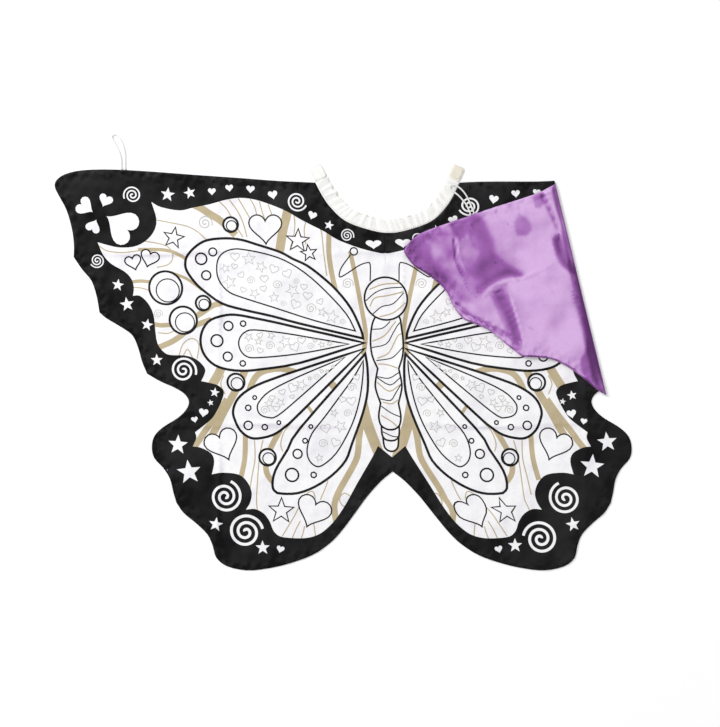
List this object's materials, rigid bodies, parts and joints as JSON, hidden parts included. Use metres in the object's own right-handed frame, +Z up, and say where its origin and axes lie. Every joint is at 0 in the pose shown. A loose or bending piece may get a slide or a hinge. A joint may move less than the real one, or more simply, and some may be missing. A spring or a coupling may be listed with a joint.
{
  "type": "butterfly wing cape",
  "caption": "Satin butterfly-wing costume cape with a gathered neck casing, hook-and-loop neck tabs and elastic finger loops; one wing tip folded over.",
  "frame": {"origin": "middle of the footprint of the cape as it lies, on the surface that it lies on", "axes": "+X along the span towards the folded right wing tip, +Y from the hem towards the neck, +Z up from the surface"},
  "size_m": [1.015, 0.7685, 0.0083],
  "materials": {
    "printed_satin": "satin",
    "purple_satin": "satin",
    "white_cotton": "matte",
    "white_elastic": "matte",
    "white_thread": "matte",
    "cream_hook_tape": "matte",
    "white_loop_tape": "matte"
  },
  "bodies": {
    "right_wing": {"front_panel_right": "printed_satin", "back_panel_right": "purple_satin", "neck_casing_right": "white_cotton", "neck_elastic_right": "white_elastic", "neck_stitching_right": "white_thread"},
    "left_wing": {"front_panel_left": "printed_satin", "back_panel_left": "purple_satin", "neck_casing_left": "white_cotton", "neck_elastic_left": "white_elastic", "neck_stitching_left": "white_thread"},
    "right_wing_tip": {"front_panel_right_tip": "printed_satin", "back_panel_right_tip": "purple_satin"},
    "left_wing_tip": {"front_panel_left_tip": "printed_satin", "back_panel_left_tip": "purple_satin"},
    "right_neck_tab": {"neck_tab_right": "white_cotton", "hook_patch": "cream_hook_tape", "tab_stitching_right": "white_thread"},
    "left_neck_tab": {"neck_tab_left": "white_cotton", "loop_patch": "white_loop_tape", "tab_stitching_left": "white_thread"},
    "right_finger_loop": {"finger_loop_right": "white_elastic"},
    "left_finger_loop": {"finger_loop_left": "white_elastic"}
  },
  "joints": [
    {"name": "wing_fold", "type": "hinge", "parent": "right_wing", "child": "left_wing", "pos_m": [0.0799, 0, 0.0056], "axis": [-0.034, 0.9994, 0], "range_deg": [0, 120]},
    {"name": "left_tip_fold", "type": "hinge", "parent": "left_wing", "child": "left_wing_tip", "pos_m": [-0.26459, 0.1173, 0.0028], "axis": [0.1713, 0.9852, 0], "range_deg": [0, 120]},
    {"name": "right_tip_fold", "type": "hinge", "parent": "right_wing", "child": "right_wing_tip", "pos_m": [0.41641, 0.1173, 0.0028], "axis": [-0.2351, 0.972, 0], "range_deg": [0, 180]},
    {"name": "left_tab_fold", "type": "hinge", "parent": "left_wing", "child": "left_neck_tab", "pos_m": [-0.03836, 0.30497, 0.0048], "axis": [0.8875, 0.4608, 0], "range_deg": [0, 45]},
    {"name": "right_tab_fold", "type": "hinge", "parent": "right_wing", "child": "right_neck_tab", "pos_m": [0.19351, 0.30436, 0.0048], "axis": [0.9115, -0.4112, 0], "range_deg": [0, 45]},
    {"name": "left_loop_swing", "type": "hinge", "parent": "left_wing_tip", "child": "left_finger_loop", "pos_m": [-0.38666, 0.32392, 0.00145], "axis": [0.9992, -0.0404, 0], "range_deg": [0, 90]},
    {"name": "right_loop_swing", "type": "hinge", "parent": "right_wing_tip", "child": "right_finger_loop", "pos_m": [0.22698, 0.24488, 0.00445], "axis": [0.942, 0.3355, 0], "range_deg": [0, 90]}
  ]
}
